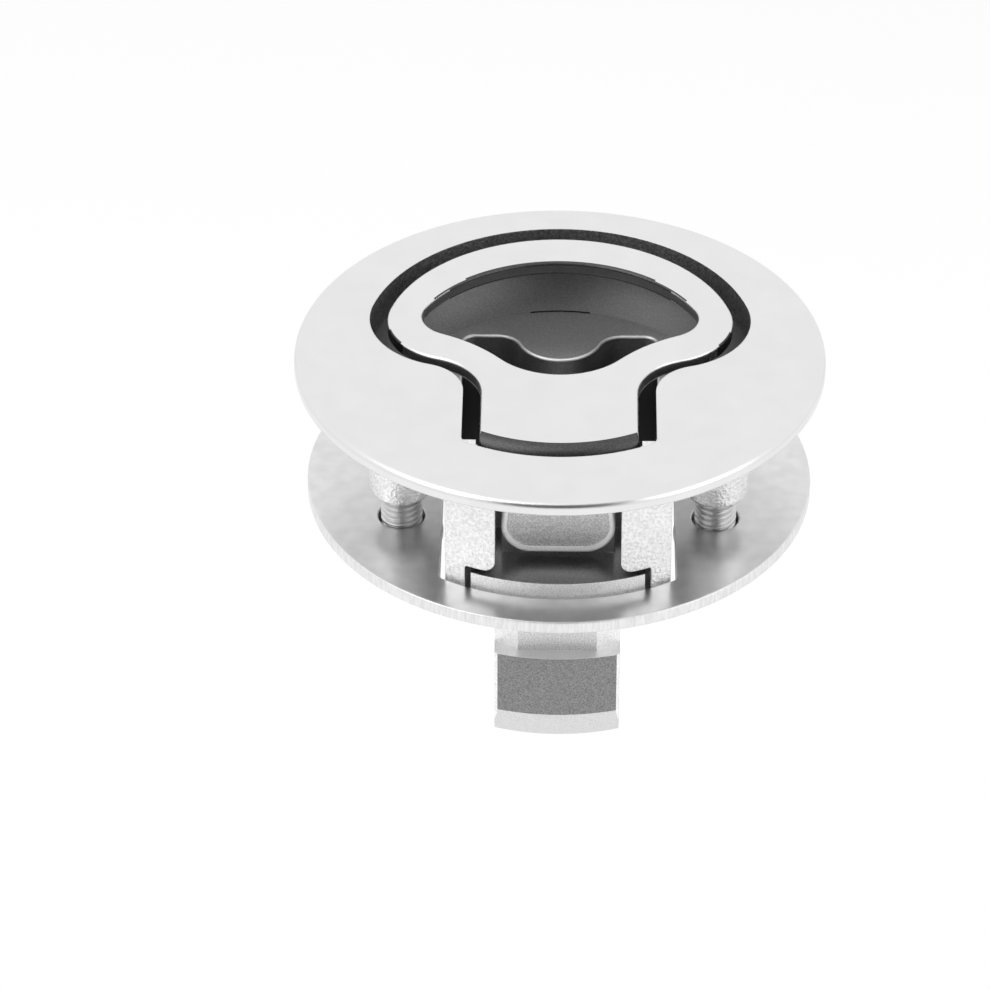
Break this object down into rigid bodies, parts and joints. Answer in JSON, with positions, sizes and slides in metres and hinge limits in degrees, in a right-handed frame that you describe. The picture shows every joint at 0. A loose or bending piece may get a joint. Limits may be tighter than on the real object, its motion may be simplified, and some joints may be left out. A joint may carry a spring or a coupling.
{
  "type": "flush pull latch",
  "caption": "Round flush-mount pull latch for a hatch or locker lid: a keyhole ring lifts from a finger dish and draws back a sprung, hooked bolt below a clamping back plate.",
  "frame": {"origin": "centre of the flange's underside, the plane that seats on the lid", "axes": "+Z out of the lid, along the flange's axis; -Y towards the hinge and the bolt's hooked tongue; +X to the right seen from the tongue's side"},
  "size_m": [0.0636, 0.0636, 0.0417],
  "materials": {
    "housing": "polished cast stainless steel",
    "pull_handle": "polished cast stainless steel",
    "hinge_pin": "drawn stainless steel",
    "bolt": "as-cast stainless steel with ground faces",
    "bolt_spring_left": "drawn spring steel",
    "bolt_spring_right": "drawn spring steel",
    "slide_cover": "plain rolled stainless steel",
    "cover_screw_left_front": "polished stainless steel",
    "cover_screw_left_rear": "polished stainless steel",
    "cover_screw_right_front": "polished stainless steel",
    "cover_screw_right_rear": "polished stainless steel",
    "back_plate": "polished stainless steel",
    "clamp_screw_left": "polished stainless steel",
    "clamp_screw_right": "polished stainless steel",
    "lock_washer_left": "plain spring steel",
    "lock_washer_right": "plain spring steel",
    "flat_washer_left": "polished stainless steel",
    "flat_washer_right": "polished stainless steel"
  },
  "bodies": {
    "frame": {"housing": "housing", "hinge_pin": "hinge_pin", "bolt_spring_left": "bolt_spring_left", "bolt_spring_right": "bolt_spring_right", "slide_cover": "slide_cover", "cover_screw_left_front": "cover_screw_left_front", "cover_screw_left_rear": "cover_screw_left_rear", "cover_screw_right_front": "cover_screw_right_front", "cover_screw_right_rear": "cover_screw_right_rear", "back_plate": "back_plate", "clamp_screw_left": "clamp_screw_left", "clamp_screw_right": "clamp_screw_right", "lock_washer_left": "lock_washer_left", "lock_washer_right": "lock_washer_right", "flat_washer_left": "flat_washer_left", "flat_washer_right": "flat_washer_right"},
    "handle": {"pull_handle": "pull_handle"},
    "bolt": {"bolt": "bolt"}
  },
  "joints": [
    {"name": "pull_hinge", "type": "hinge", "parent": "frame", "child": "handle", "pos_m": [0, -0.0172, -0.0031], "axis": [1, 0, 0], "range_deg": [0, 32], "stiffness_Nm_per_rad": 0.07, "springref_deg": -22.92},
    {"name": "bolt_slide", "type": "slide", "parent": "frame", "child": "bolt", "axis": [0, 1, 0], "range_m": [0, 0.0055], "deforming": ["bolt_spring_left", "bolt_spring_right"]}
  ],
  "couplings": [
    {"joint": "bolt_slide", "follows": "pull_hinge", "m_per_rad": 0.0096}
  ]
}
